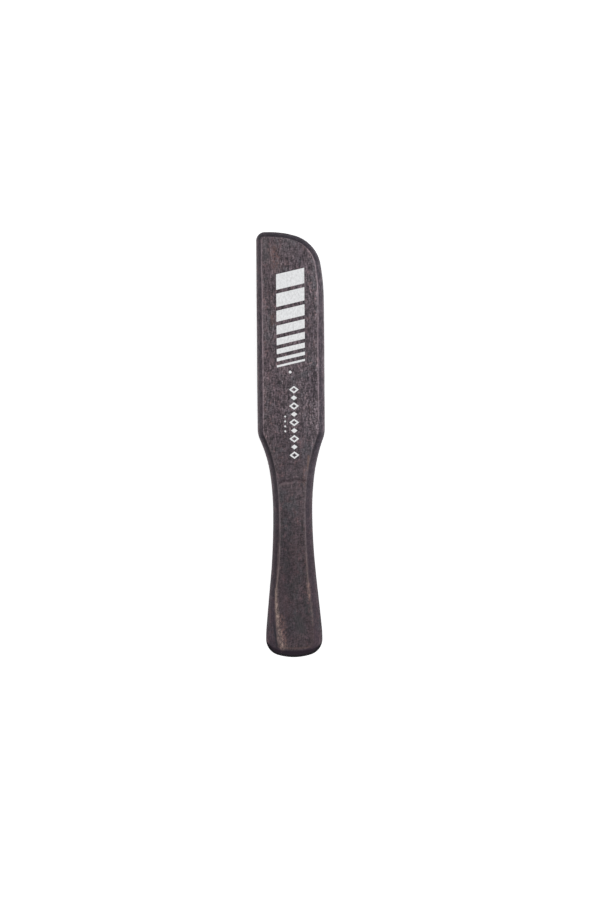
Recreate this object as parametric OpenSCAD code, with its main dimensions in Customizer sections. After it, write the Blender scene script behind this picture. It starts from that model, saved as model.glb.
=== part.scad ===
// Barber's fade brush: a flat, knife-shaped wooden body with staple-set bristle tufts.
// The brush lies on its bristle tips at z = 0, with the flat back of the wood facing up.
// +Y runs from the handle to the tip of the head, +X is the right side seen from above.
// All sizes are in millimetres and all angles in degrees.

/* [Body] */
// Overall length of the wooden body
body_length = 225; // [205:1:245]
// Thickness of the wooden body
body_thickness = 12; // [11:0.5:15]
// Width of the head
head_width = 35.4; // [35:0.1:40]
// Distance from the shoulder, where the head starts to narrow, to the tip
head_length = 104.2; // [96:0.1:112]
// Radius of the square corner at the tip
tip_corner_r = 4.6; // [3.6:0.1:5]
// Radius of the swept corner where it leaves the end
tip_end_r = 52; // [46:1:56]
// Radius of the swept corner at its tightest
tip_nose_r = 19; // [17:0.5:20]
// Radius of the swept corner where it runs into the side
tip_side_r = 118; // [100:1:130]

/* [Handle] */
// Width of the handle at its waist
waist_width = 20.5; // [19:0.1:22]
// Distance from the shoulder to the waist
waist_distance = 43.9; // [41:0.1:48]
// Width of the handle at its widest, near the end
end_width = 29.6; // [28.6:0.1:30.4]
// Radius that eases the shoulder
shoulder_r = 14; // [10:0.5:16]
// Steepest angle of the shoulder
shoulder_angle = 21.9; // [21:0.1:24]
// Steepest angle of the handle's flare
flare_angle = 5.6; // [5.3:0.1:6]
// Radius of the two corners at the handle's end
end_corner_r = 8.5; // [7:0.5:10]
// How far the handle sits to the right of the head's middle
handle_shift = 0.4; // [0:0.1:0.6]

/* [Edges] */
// Width of the rounded edge on the head
edge_width = 2.9; // [2:0.1:3.2]
// Height of the rounded edge
edge_height = 4; // [3:0.1:4.5]
// How many times wider the rounded edge gets at the handle's end
edge_growth = 1.4; // [1:0.05:1.45]

/* [Bristles] */
// Length of bristle that stands out of the wood
bristle_length = 18; // [12:0.5:25]
// Number of tuft rows across the head
rows = 6; // [6:6]
// Distance between rows
row_pitch = 4.9; // [4.7:0.1:5]
// Distance between tufts in a row
tuft_pitch = 5.2; // [5.2:0.1:6]
// Diameter of a tuft hole
hole_diameter = 3; // [2.6:0.1:3.2]
// Depth of a tuft hole to the start of its drill point
hole_depth = 7.5; // [6:0.5:8]
// Diameter of a tuft at its trimmed tip
tuft_tip_diameter = 5; // [3.4:0.1:5]

/* [Anchors] */
// Length of the flat wire that pins a tuft
anchor_length = 3.5; // [3.4:0.1:3.8]
// Height of the flat wire
anchor_height = 1.5; // [1.2:0.1:1.8]
// Thickness of the flat wire
anchor_thickness = 0.35; // [0.3:0.05:0.45]

/* [Hidden] */
$fn = 48;

head_half = head_width / 2;
waist_half = waist_width / 2;
end_half = end_width / 2;
y_tip = body_length / 2;
y_shoulder = y_tip - head_length;
y_waist = y_shoulder - waist_distance;
z_front = bristle_length;           // the drilled face, underneath
z_back = z_front + body_thickness;  // the flat back, on top

// ---- Outline ----
// Each outline point is [x, y, outward x, outward y]

function direction(angle) = [cos(angle), sin(angle)];

// Points along an arc; a negative radius makes it hollow. Arcs join tangentially,
// so each one leaves out its first point, which ends the arc before it.
function arc(centre, radius, start, stop, steps, first = 1) = [for (i = [first:steps])
    let (out = direction(start + (stop - start) * i / steps)) concat(centre + radius * out, out)];
function mirrored(p) = [-p[0], p[1], -p[2], p[3]];
function smooth(t) = let (u = max(0, min(1, t))) u * u * (3 - 2 * u);

// Swept corner on the right of the tip: end, nose and side arcs.
// The nose arc's outward direction turns between these two angles.
nose_start = 75;
nose_stop = 9.5;
tip_end_centre = [
    head_half - tip_side_r - (tip_end_r - tip_nose_r) * cos(nose_start)
        + (tip_side_r - tip_nose_r) * cos(nose_stop),
    y_tip - tip_end_r];
tip_nose_centre = tip_end_centre + (tip_end_r - tip_nose_r) * direction(nose_start);
tip_side_centre = tip_nose_centre - (tip_side_r - tip_nose_r) * direction(nose_stop);

tip_right = concat(
    arc(tip_end_centre, tip_end_r, 90, nose_start, 3, first = 0),
    arc(tip_nose_centre, tip_nose_r, nose_start, nose_stop, 12),
    arc(tip_side_centre, tip_side_r, nose_stop, 0, 4));

// Square corner on the left of the tip, with as many points as the swept one
tip_left = arc([tip_corner_r - head_half, y_tip - tip_corner_r], tip_corner_r,
               90, 180, len(tip_right) - 1, first = 0);

// Shoulder: a convex radius, then a hollow in two arcs, neck and waist, level at the waist.
// The two hollow radii solve
//   neck_across * neck_r + waist_across * waist_r = hollow_across
//   neck_along * neck_r + waist_along * waist_r = hollow_along
hollow_angle = 0.32 * shoulder_angle;   // where the neck arc meets the waist arc
hollow_across = head_half - waist_half - shoulder_r * (1 - cos(shoulder_angle));
hollow_along = waist_distance - shoulder_r * sin(shoulder_angle);
neck_across = cos(hollow_angle) - cos(shoulder_angle);
neck_along = sin(shoulder_angle) - sin(hollow_angle);
waist_across = 1 - cos(hollow_angle);
waist_along = sin(hollow_angle);
determinant = neck_across * waist_along - waist_across * neck_along;
neck_r = (hollow_across * waist_along - waist_across * hollow_along) / determinant;
waist_r = (neck_across * hollow_along - neck_along * hollow_across) / determinant;
shoulder_centre = [head_half - shoulder_r, y_shoulder];
neck_centre = shoulder_centre + (shoulder_r + neck_r) * direction(-shoulder_angle);

// Handle's end: two corner radii joined by a shallow arc that spans end_angle each side
end_angle = 18;
end_r = end_corner_r + (end_half - end_corner_r) / sin(end_angle);
y_wide = -y_tip + end_r - (end_r - end_corner_r) * cos(end_angle);

// Flare from the waist to the widest point: a hollow arc, then a full one
flare_r_sum = ((y_waist - y_wide) * sin(flare_angle)
    - (end_half - waist_half) * cos(flare_angle)) / (1 - cos(flare_angle));
flare_hollow_share = 0.83;
flare_hollow_r = flare_hollow_share * flare_r_sum;
flare_full_r = (1 - flare_hollow_share) * flare_r_sum;

// From the shoulder to the foot, the middle of the handle's end; the same on both sides
side = concat(
    arc(shoulder_centre, shoulder_r, 0, -shoulder_angle, 4, first = 0),
    arc(neck_centre, -neck_r, -shoulder_angle, -hollow_angle, 6),
    arc([waist_half + waist_r, y_waist], -waist_r, -hollow_angle, 0, 4),
    arc([waist_half + flare_hollow_r, y_waist], -flare_hollow_r, 0, flare_angle, 6),
    arc([end_half - flare_full_r, y_wide], flare_full_r, flare_angle, 0, 3),
    arc([end_half - end_corner_r, y_wide], end_corner_r, 0, end_angle - 90, 8),
    arc([0, end_r - y_tip], end_r, end_angle - 90, -90, 4));

right = concat(tip_right, side);
left = concat(tip_left, [for (p = side) mirrored(p)]);
foot = len(right) - 1;      // index of the foot, which both sides share

// Clockwise from the tip, seen from above: down the right, round the foot, up the left
centred_outline = concat(right, [for (i = [foot - 1:-1:0]) left[i]]);
shift_length = 20;          // the handle's shift builds up over this length
outline = [for (p = centred_outline)
    [p[0] + handle_shift * smooth((y_shoulder - p[1]) / shift_length), p[1], p[2], p[3]]];
n_outline = len(outline);

// ---- Wooden blank: a stack of outline rings ----

// The rounded edge follows part of an ellipse between these angles, from wall to face
edge_wall_angle = 88;
edge_face_angle = 28;
edge_steps = 5;
// Columns: inset as a share of the edge's width, depth below the face
edge_profile = [for (i = [0:edge_steps])
    let (angle = edge_wall_angle + (edge_face_angle - edge_wall_angle) * i / edge_steps)
    [(sin(edge_wall_angle) - sin(angle)) / (sin(edge_wall_angle) - sin(edge_face_angle)),
     edge_height * (cos(edge_face_angle) - cos(angle))
         / (cos(edge_face_angle) - cos(edge_wall_angle))]];

// Rings from the front face to the back. Columns: inset share, z
rings = concat(
    [for (i = [edge_steps:-1:0]) [edge_profile[i][0], z_front + edge_profile[i][1]]],
    [for (p = edge_profile) [p[0], z_back - p[1]]]);
last_ring = len(rings) - 1;

// The edge widens from the shoulder to the handle's end
function edge_width_at(y) =
    edge_width * (1 + (edge_growth - 1) * smooth((y_shoulder - y) / (y_shoulder + y_tip)));
function ring_points(ring) = [for (p = outline)
    let (inset = ring[0] * edge_width_at(p[1]))
    [p[0] - inset * p[2], p[1] - inset * p[3], ring[1]]];

// Index of outline point i on ring k
function at(k, i) = k * n_outline + (i % n_outline);
// Strips across a face join point i on the right to its partner on the left
function opposite(i) = n_outline - 1 - i;

module blank() {
    points = [for (ring = rings) each ring_points(ring)];
    walls = [for (k = [0:last_ring - 1]) for (i = [0:n_outline - 1])
        each [[at(k, i), at(k + 1, i), at(k + 1, i + 1)],
              [at(k, i), at(k + 1, i + 1), at(k, i + 1)]]];
    front = [for (i = [0:foot - 2])
        each [[at(0, i), at(0, i + 1), at(0, opposite(i + 1))],
              [at(0, i), at(0, opposite(i + 1)), at(0, opposite(i))]]];
    front_end = [[at(0, foot - 1), at(0, foot), at(0, foot + 1)]];
    k = last_ring;
    back = [for (i = [0:foot - 2])
        each [[at(k, i + 1), at(k, i), at(k, opposite(i + 1))],
              [at(k, opposite(i + 1)), at(k, i), at(k, opposite(i))]]];
    back_end = [[at(k, foot), at(k, foot - 1), at(k, foot + 1)]];
    polyhedron(points, concat(walls, front, front_end, back, back_end), convexity = 4);
}

// ---- Tuft places: odd rows are shifted by half a pitch, and all keep clear of the edge ----

hole_r = hole_diameter / 2;
tuft_margin = edge_width + hole_r + 0.6;    // least distance from a tuft's axis to the outline
y_first = y_shoulder + 3.5;                 // first tuft of the even rows

function row_x(row) = (row - (rows + 1) / 2) * row_pitch;
function to_segment(q, a, b) =
    let (ab = b - a, t = max(0, min(1, (q - a) * ab / (ab * ab)))) norm(q - a - t * ab);
function outline_xy(i) = let (p = outline[i % n_outline]) [p[0], p[1]];
function to_outline(q) =
    min([for (i = [0:n_outline - 1]) to_segment(q, outline_xy(i), outline_xy(i + 1))]);
function row_places(row) = [for (i = [0:ceil(head_length / tuft_pitch)])
    let (y = y_first + (i + (row % 2) / 2) * tuft_pitch)
    if (y < y_tip - tuft_margin && to_outline([row_x(row), y]) >= tuft_margin) [row_x(row), y]];

// ---- Holes, tufts and anchors, each built on its own z axis ----

drill_angle = 118;
point_height = hole_r / tan(drill_angle / 2);
z_hole_end = z_front + hole_depth;          // where the drill point starts
anchor_z = z_hole_end - 0.5 - anchor_height;
hole_overcut = 1;                           // how far the cutter starts outside the wood
tuft_gap = 0.02;                            // a set tuft fills its hole
tuft_end_gap = 0.05;                        // from the tuft's full width to z_hole_end
tuft_end_r = 0.35;
z_tuft_end = z_hole_end + 0.6 * point_height;
anchor_gap_wood = 0.01;
anchor_gap_tuft = 0.005;

module anchor_shape(gap) {
    translate([-anchor_length / 2 - gap, -anchor_thickness / 2 - gap, anchor_z - gap])
        cube([anchor_length + 2 * gap, anchor_thickness + 2 * gap, anchor_height + 2 * gap]);
}

module tuft_hole() {
    translate([0, 0, z_front - hole_overcut]) cylinder(r = hole_r, h = hole_depth + hole_overcut);
    translate([0, 0, z_hole_end]) cylinder(r1 = hole_r, r2 = 0, h = point_height);
    anchor_shape(anchor_gap_wood);
}

// A tuft is one bundle folded over its anchor: the slot is where the wire crosses it
module tuft() {
    root_r = hole_r - tuft_gap;
    difference() {
        rotate_extrude() polygon([
            [0, 0],
            [tuft_tip_diameter / 2, 0],
            [root_r, z_front],
            [root_r, z_hole_end - tuft_end_gap],
            [tuft_end_r, z_tuft_end],
            [0, z_tuft_end]]);
        anchor_shape(anchor_gap_tuft);
    }
}

// ---- Nodes ----

module wooden_body() {
    color("#564a4e") difference() {
        blank();
        for (row = [1:rows]) for (p = row_places(row)) translate([p[0], p[1], 0]) tuft_hole();
    }
}

module tuft_row(row) {
    color("#1d1814") for (p = row_places(row)) translate([p[0], p[1], 0]) tuft();
}

module anchor_row(row) {
    color("#b9b39f") for (p = row_places(row)) translate([p[0], p[1], 0]) anchor_shape(0);
}

wooden_body();
tuft_row(1);  // tuft_row_1
tuft_row(2);  // tuft_row_2
tuft_row(3);  // tuft_row_3
tuft_row(4);  // tuft_row_4
tuft_row(5);  // tuft_row_5
tuft_row(6);  // tuft_row_6
anchor_row(1);  // anchor_row_1
anchor_row(2);  // anchor_row_2
anchor_row(3);  // anchor_row_3
anchor_row(4);  // anchor_row_4
anchor_row(5);  // anchor_row_5
anchor_row(6);  // anchor_row_6
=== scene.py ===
"""A flat wooden bristle brush, lying on its bristle tips with its printed back up.

Its length runs along y, head at +y and handle at -y, and its width along x, with the
outline's tight corner at -x and its swept tip at +x. The front, drilled for the tufts, faces
down; the back faces up; the floor is at z = 0. Sizes are in mm and meshes are stored in metres.
"""

import math
from functools import reduce

import bpy
import numpy as np
from mathutils import Matrix, Vector
from mathutils.geometry import delaunay_2d_cdt


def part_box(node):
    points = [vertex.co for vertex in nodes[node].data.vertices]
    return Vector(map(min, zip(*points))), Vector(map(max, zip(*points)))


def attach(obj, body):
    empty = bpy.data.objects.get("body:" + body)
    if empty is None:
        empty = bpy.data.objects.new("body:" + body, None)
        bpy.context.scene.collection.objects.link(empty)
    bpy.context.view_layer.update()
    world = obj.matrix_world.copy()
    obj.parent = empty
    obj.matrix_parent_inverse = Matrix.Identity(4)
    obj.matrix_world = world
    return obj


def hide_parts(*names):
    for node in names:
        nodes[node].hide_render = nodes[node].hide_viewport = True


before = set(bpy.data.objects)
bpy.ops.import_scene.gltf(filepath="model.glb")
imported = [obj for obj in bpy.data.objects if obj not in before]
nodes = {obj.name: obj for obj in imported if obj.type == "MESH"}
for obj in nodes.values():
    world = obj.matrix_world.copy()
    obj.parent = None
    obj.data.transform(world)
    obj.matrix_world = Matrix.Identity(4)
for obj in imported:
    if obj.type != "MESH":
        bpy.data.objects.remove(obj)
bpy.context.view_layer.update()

MM = 0.001

# ---------------------------------------------------------------- sizes
body_low, body_high = (np.array(v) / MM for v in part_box("wooden_body"))
Z_FRONT, Z_BACK = float(body_low[2]), float(body_high[2])
Y_TIP = float(body_high[1])
HALF_WIDTH = float(body_high[0] - body_low[0]) / 2

HEAD_LENGTH = 104.2
CORNER_R = 4.6              # tight corner of the tip, at -x
TIP_END_R = 52.0            # the swept tip: flat end, nose, then the long side at +x
NOSE_R = 19.0
TIP_SIDE_R = 118.0
TIP_END_ANGLE, NOSE_ANGLE = 15.0, 80.5      # where those arcs meet, from the +y axis
SHOULDER_R, SHOULDER_ANGLE = 14.0, 21.9
WAIST_ANGLE = 0.32 * SHOULDER_ANGLE
WAIST_HALF_WIDTH, WAIST_DROP = 10.25, 43.9  # WAIST_DROP is measured from the shoulder
FLARE_ANGLE = 5.6
HANDLE_HALF_WIDTH = 14.8
HANDLE_CORNER_R = 8.5
HANDLE_CAP_ANGLE = 18.0
HANDLE_SHIFT, SHIFT_LENGTH = 0.4, 20    # the handle sits off centre, towards +x
Y_SHOULDER = Y_TIP - HEAD_LENGTH
Y_WAIST = Y_SHOULDER - WAIST_DROP

OUTLINE_STEP = 0.62
EDGE_HEIGHT = 4.0           # height of the rounded edge on each face
SOFT = 0.32                 # width of the softened line where edge and face meet
HOLE_R, HOLE_DEPTH, HOLE_SIDES = 1.5, 7.5, 28
MOUTH_BREAK = 0.14          # broken edge at each hole mouth
DRILL_HALF_ANGLE = 59


def sin_deg(angle):
    return math.sin(math.radians(angle))


def cos_deg(angle):
    return math.cos(math.radians(angle))


def smooth(t):
    t = np.clip(t, 0, 1)
    return t * t * (3 - 2 * t)


# ---------------------------------------------------------------- outline
def arc(centre, radius, start, end, count, sign=1):
    """Rows of [x, y, outward x, outward y]; sign -1 makes a hollow arc."""
    angle = np.radians(np.linspace(start, end, count))
    outward = np.stack([np.cos(angle), np.sin(angle)], 1)
    return np.concatenate([np.array(centre) + sign * radius * outward, outward], 1)


def tip_sweep():
    """The swept tip, from the end of the head round to the side at +x."""
    end_a, nose_a = TIP_END_ANGLE, NOSE_ANGLE
    end_to_nose, side_to_nose = TIP_END_R - NOSE_R, TIP_SIDE_R - NOSE_R
    end_x = HALF_WIDTH - TIP_SIDE_R - end_to_nose * sin_deg(end_a) + side_to_nose * sin_deg(nose_a)
    end_c = np.array([end_x, Y_TIP - TIP_END_R])
    nose_c = end_c + end_to_nose * np.array([sin_deg(end_a), cos_deg(end_a)])
    side_c = nose_c - side_to_nose * np.array([sin_deg(nose_a), cos_deg(nose_a)])
    return np.concatenate([arc(end_c, TIP_END_R, 90, 90 - end_a, 60),
                           arc(nose_c, NOSE_R, 90 - end_a, 90 - nose_a, 120),
                           arc(side_c, TIP_SIDE_R, 90 - nose_a, 0, 80)])


def handle_side():
    """The side at +x, from the shoulder to the middle of the handle's end."""
    a, b = SHOULDER_ANGLE, WAIST_ANGLE
    # Neck and waist radii follow from the width and length between shoulder and waist
    across = HALF_WIDTH - WAIST_HALF_WIDTH - SHOULDER_R * (1 - cos_deg(a))
    down = WAIST_DROP - SHOULDER_R * sin_deg(a)
    terms = np.array([[cos_deg(b) - cos_deg(a), 1 - cos_deg(b)],
                      [sin_deg(a) - sin_deg(b), sin_deg(b)]])
    neck_r, waist_r = np.linalg.solve(terms, [across, down])
    neck_c = (HALF_WIDTH - SHOULDER_R + (SHOULDER_R + neck_r) * cos_deg(a),
              Y_SHOULDER - (SHOULDER_R + neck_r) * sin_deg(a))
    cap_a = HANDLE_CAP_ANGLE
    cap_r = HANDLE_CORNER_R + (HANDLE_HALF_WIDTH - HANDLE_CORNER_R) / sin_deg(cap_a)
    y_wide = -Y_TIP + cap_r - (cap_r - HANDLE_CORNER_R) * cos_deg(cap_a)
    # The flare is a hollow arc followed by a full one; both radii share one sum
    length, spread = Y_WAIST - y_wide, HANDLE_HALF_WIDTH - WAIST_HALF_WIDTH
    flare_r = ((length * sin_deg(FLARE_ANGLE) - spread * cos_deg(FLARE_ANGLE))
               / (1 - cos_deg(FLARE_ANGLE)))
    hollow_r, full_r = 0.83 * flare_r, 0.17 * flare_r
    return np.concatenate([
        arc((HALF_WIDTH - SHOULDER_R, Y_SHOULDER), SHOULDER_R, 0, -a, 60),
        arc(neck_c, neck_r, -a, -b, 120, -1),
        arc((WAIST_HALF_WIDTH + waist_r, Y_WAIST), waist_r, -b, 0, 80, -1),
        arc((WAIST_HALF_WIDTH + hollow_r, Y_WAIST), hollow_r, 0, FLARE_ANGLE, 120, -1),
        arc((HANDLE_HALF_WIDTH - full_r, y_wide), full_r, FLARE_ANGLE, 0, 60),
        arc((HANDLE_HALF_WIDTH - HANDLE_CORNER_R, y_wide), HANDLE_CORNER_R, 0, cap_a - 90, 80),
        arc((0, cap_r - Y_TIP), cap_r, cap_a - 90, -90, 60)])


def make_outline(step):
    """Evenly spaced [x, y, outward x, outward y], clockwise from the tip seen from above."""
    side = handle_side()
    mirror = side * [-1, 1, -1, 1]
    corner = arc((CORNER_R - HALF_WIDTH, Y_TIP - CORNER_R), CORNER_R, 90, 180, 60)
    line = np.concatenate([tip_sweep(), side, mirror[::-1], corner[::-1]])
    line = line[np.r_[True, np.hypot(*(np.diff(line[:, :2], axis=0).T)) > 1e-5]]
    line = np.concatenate([line, line[:1]])
    length = np.r_[0, np.cumsum(np.hypot(*(np.diff(line[:, :2], axis=0).T)))]
    count = int(round(length[-1] / step))
    at = np.arange(count) * length[-1] / count
    out = np.stack([np.interp(at, length, line[:, k]) for k in range(4)], 1)
    out[:, 2:] /= np.linalg.norm(out[:, 2:], axis=1, keepdims=True)
    out[:, 0] += HANDLE_SHIFT * smooth((Y_SHOULDER - out[:, 1]) / SHIFT_LENGTH)
    return out


# ---------------------------------------------------------------- back face level
# Creases across the neck share a middle, a slant and a ripple (height, turns in radians per mm)
CREASE_X, CREASE_SLANT, CREASE_RIPPLE = 0.9, 0.072, (0.2, 0.9)
# y, bow, half length, half width, depth
CREASES = [(-18.6, -0.022, 8.3, 0.55, 0.045), (-29.3, -0.01, 4.0, 0.4, 0.035)]
BACK_SINK, BACK_WAVE = 0.05, 0.035


def wave(x, y, phase):
    """Slow waves left by hand sanding, about -1 to 1."""
    return (np.sin(y * 0.071 + 1.3 * phase) * 0.5
            + np.sin(y * 0.173 + x * 0.05 + 2.1 * phase) * 0.3
            + np.sin(y * 0.037 - x * 0.11 + 0.7 * phase) * 0.45)


def crease(x, y):
    """Depth of the two shallow creases."""
    depth = 0
    u = x - CREASE_X
    height, turn = CREASE_RIPPLE
    for y0, bow, half, width, deep in CREASES:
        line = y0 + bow * u * u + CREASE_SLANT * u + height * np.sin(u * turn)
        depth = (depth + deep * np.exp(-((y - line) / width) ** 2)
                 * smooth((half - np.abs(u)) / 2.5))
    return depth


def back_z(x, y):
    """Level of the back face."""
    return Z_BACK - BACK_SINK + BACK_WAVE * wave(x, y, 1.0) - crease(x, y)


# ---------------------------------------------------------------- mesh helpers
def new_mesh(name, verts, faces, material, attributes=None, smooth_shade=True):
    mesh = bpy.data.meshes.new(name)
    verts = np.asarray(verts, float) * MM
    mesh.from_pydata(verts.tolist(), [], [list(map(int, f)) for f in faces])
    mesh.validate(verbose=False)
    for key, values in (attributes or {}).items():
        attribute = mesh.attributes.new(key, "FLOAT", "POINT")
        attribute.data.foreach_set("value", np.asarray(values, np.float32))
    mesh.polygons.foreach_set("use_smooth", [smooth_shade] * len(mesh.polygons))
    mesh.update()
    obj = bpy.data.objects.new(name, mesh)
    bpy.context.scene.collection.objects.link(obj)
    mesh.materials.append(material)
    return obj


def inside(points, polygon):
    """Which points lie inside a closed polygon."""
    x, y = points.T
    result = np.zeros(len(points), bool)
    for (x1, y1), (x2, y2) in zip(polygon, np.roll(polygon, -1, axis=0)):
        hit = (y1 > y) != (y2 > y)
        if hit.any():
            result ^= hit & (x < x1 + (y - y1) / (y2 - y1) * (x2 - x1))
    return result


def near(points, targets, distance):
    """Which points lie within a distance of any target point."""
    out = np.zeros(len(points), bool)
    for i in range(0, len(points), 512):
        gap = points[i:i + 512, None, :] - targets[None]
        out[i:i + 512] = (gap ** 2).sum(2).min(1) < distance * distance
    return out


def grid(low, high, step, shift=0.0, stagger=0.0):
    """Grid points; shift moves all of them along x, stagger only every second row."""
    x, y = np.meshgrid(np.arange(low[0], high[0], step), np.arange(low[1], high[1], step))
    x = x + (np.arange(x.shape[0]) % 2)[:, None] * stagger
    return np.stack([x.ravel() + shift, y.ravel()], 1)


def triangulate(loops, inner):
    """Triangles inside the first loop and outside the others; points are loops, then inner."""
    points = [Vector(p) for loop in loops for p in loop] + [Vector(p) for p in inner]
    edges, start = [], 0
    for loop in loops:
        edges += [(start + i, start + (i + 1) % len(loop)) for i in range(len(loop))]
        start += len(loop)
    found, _, triangles, origins, _, _ = delaunay_2d_cdt(points, edges, [], 0, 1e-7, True)
    source = {i: origin[0] for i, origin in enumerate(origins) if origin}
    found = np.array([[p.x, p.y] for p in found])
    middles = np.array([found[list(t)].mean(0) for t in triangles])
    keep = inside(middles, loops[0])
    for hole in loops[1:]:
        keep &= ~inside(middles, hole)
    kept = [[source[i] for i in t] for t, k in zip(triangles, keep) if k]
    return np.array([[p.x, p.y] for p in points]), kept


# ---------------------------------------------------------------- tuft places
def tuft_places(node):
    """Centres of a row's tufts, read from the CAD vertices level with the front face."""
    co = np.array([v.co for v in nodes[node].data.vertices]) / MM
    mouth = co[np.abs(co[:, 2] - Z_FRONT) < 0.02][:, :2]
    groups = []
    for p in mouth[np.argsort(mouth[:, 1])]:
        # A gap this long along y starts the next tuft
        if not groups or p[1] - groups[-1][0][1] > 4.0:
            groups.append([])
        groups[-1].append(p)
    return [(np.min(g, 0) + np.max(g, 0)) / 2 for g in groups]


rows = {n: tuft_places(n) for n in sorted(nodes) if n.startswith("tuft_row_")}
all_places = np.array([p for places in rows.values() for p in places])

# ---------------------------------------------------------------- the wooden body
# Each table holds y stations, then values; left is -x and right is +x.
# Width of the rounded edge, which varies as if cut by hand
EDGE_LEFT = ([-113, -107, -103, -95, -88, -79, -72, -65, -40, -25, -15, 0, 14, 34, 48, 82, 87, 112],
             [5.7, 6.3, 6.2, 5.2, 4.2, 3.2, 3.7, 3.82, 3.52, 3.19, 3.12, 2.9, 3.03, 3.17, 2.97,
              3.05, 2.84, 2.75])
EDGE_RIGHT = ([-113, -95, -73, -50, -33, -9, 5, 15, 30, 50, 70, 80, 100, 112],
              [4.8, 4.7, 4.42, 3.95, 3.88, 3.78, 3.45, 3.32, 3.27, 3.43, 3.15, 3.0, 2.87, 2.75])
EDGE_TIP, EDGE_HANDLE_END = 2.75, 4.1
# Share of the stain rubbed off the edge line
RUB_LEFT = ([-113, -104, -80, -70, -40, -26, -14, 9, 18, 32, 70, 100, 110],
            [0.1, 0.55, 0.70, 0.75, 0.75, 0.60, 0.15, 0.10, 0.66, 0.70, 0.70, 0.66, 0.60])
RUB_RIGHT = ([-113, -95, -85, -70, -40, -15, 7, 16, 30, 50, 68, 85, 98, 104, 109],
             [0.1, 0.12, 0.32, 0.54, 0.60, 0.4, 0.12, 0.66, 0.62, 0.62, 0.84, 0.88, 0.85, 0.40,
              0.10])
RUB_TIP_SHARE = 0.15
# How far the side stands outside the outline
FULL_LEFT = ([-98, -88, -77, -66, -56, -45, -24, -13, 0, 30, 50, 71, 92, 103],
             [0.06, 0.13, 0.14, 0.09, 0.17, 0.23, 0.26, 0.27, 0.19, 0.18, 0.10, 0.11, 0.06, 0.02])
FULL_RIGHT = ([-98, -66, -56, -45, -24, -13, 0, 8, 18, 29, 40, 92, 103],
              [0.27, 0.27, 0.17, 0.11, 0.07, 0.00, 0.05, 0.06, 0.10, 0.14, 0.21, 0.22, 0.22])
FULL_TIP, FULL_HANDLE_END = 0.14, 0.13
SIDE_WAVE = 0.05
# Softened line: inset and fall as shares of SOFT, and arris weight, from the face outwards
SOFT_STEPS = [(1.0, 0.0, 0.2), (0.55, 0.045, 0.8), (0.2, 0.13, 1.0)]
SOFT_FALL = 0.9
EDGE_TOP_FALL = 0.24        # fall of the rounded edge's last ring, as a share of SOFT
EDGE_STEEP, EDGE_SHALLOW, EDGE_RINGS = 88, 28, 15   # angles the rounded edge runs between
SIDE_SWELL = 0.03           # swelling of the side between the two rounded edges

line = make_outline(OUTLINE_STEP)
line_x, line_y, out_x, out_y = line.T
ring_size = len(line)
on_left = line_x < 0
# 0 on the long sides, 1 round the ends
facing = smooth((np.abs(out_y) - 0.25) / 0.6)


def relax(values, times):
    """Evens out values round the outline."""
    for _ in range(times):
        values = (np.roll(values, 1) + 2 * values + np.roll(values, -1)) / 4
    return values


def round_outline(left, right, tip, handle_end):
    """Values round the outline from two side tables and one value for each end."""
    side = np.where(on_left, np.interp(line_y, *left), np.interp(line_y, *right))
    return side * (1 - facing) + np.where(line_y > 0, tip, handle_end) * facing


def edge_widths():
    width = relax(round_outline(EDGE_LEFT, EDGE_RIGHT, EDGE_TIP, EDGE_HANDLE_END), 24)
    # At the tight corner the edge line turns almost square, so it's narrower on the diagonal
    in_corner = (line_x < CORNER_R - HALF_WIDTH) & (line_y > Y_TIP - CORNER_R)
    turn = np.minimum(1 / np.maximum(np.abs(out_x), np.abs(out_y)), 1.32)
    return relax(np.where(in_corner, CORNER_R - (CORNER_R - width) * turn, width), 1)


def rub_shares():
    left = np.interp(line_y, *RUB_LEFT) * np.where(out_y > 0.7, RUB_TIP_SHARE, 1)
    return relax(np.where(on_left, left, np.interp(line_y, *RUB_RIGHT)), 14)


def side_offsets():
    waves = SIDE_WAVE * wave(line_x * 0.3, line_y, 2.0) * np.where(line_x > 0, 1, -0.8)
    full = relax(round_outline(FULL_LEFT, FULL_RIGHT, FULL_TIP, FULL_HANDLE_END), 30)
    return np.minimum(waves - SIDE_WAVE, 0) + full


edge_width = edge_widths()
rub = rub_shares()
side_offset = side_offsets()


def edge_steps():
    """Rings of an edge, from the side to the face: inset, fall below the face, arris weight."""
    angle = np.radians(np.linspace(EDGE_STEEP, EDGE_SHALLOW, EDGE_RINGS))
    inset = ((sin_deg(EDGE_STEEP) - np.sin(angle))
             / (sin_deg(EDGE_STEEP) - sin_deg(EDGE_SHALLOW)))
    fall = 1 - ((np.cos(angle) - cos_deg(EDGE_STEEP))
                / (cos_deg(EDGE_SHALLOW) - cos_deg(EDGE_STEEP)))
    fall = EDGE_HEIGHT * fall
    fall[-1] = SOFT * EDGE_TOP_FALL
    steps = [(edge_width * i, f, max(0.0, 1 - (1 - i) * 7) * 0.8) for i, f in zip(inset, fall)]
    return steps + [(edge_width + share * SOFT, down * SOFT * SOFT_FALL, weight)
                    for share, down, weight in SOFT_STEPS[::-1]]


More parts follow.
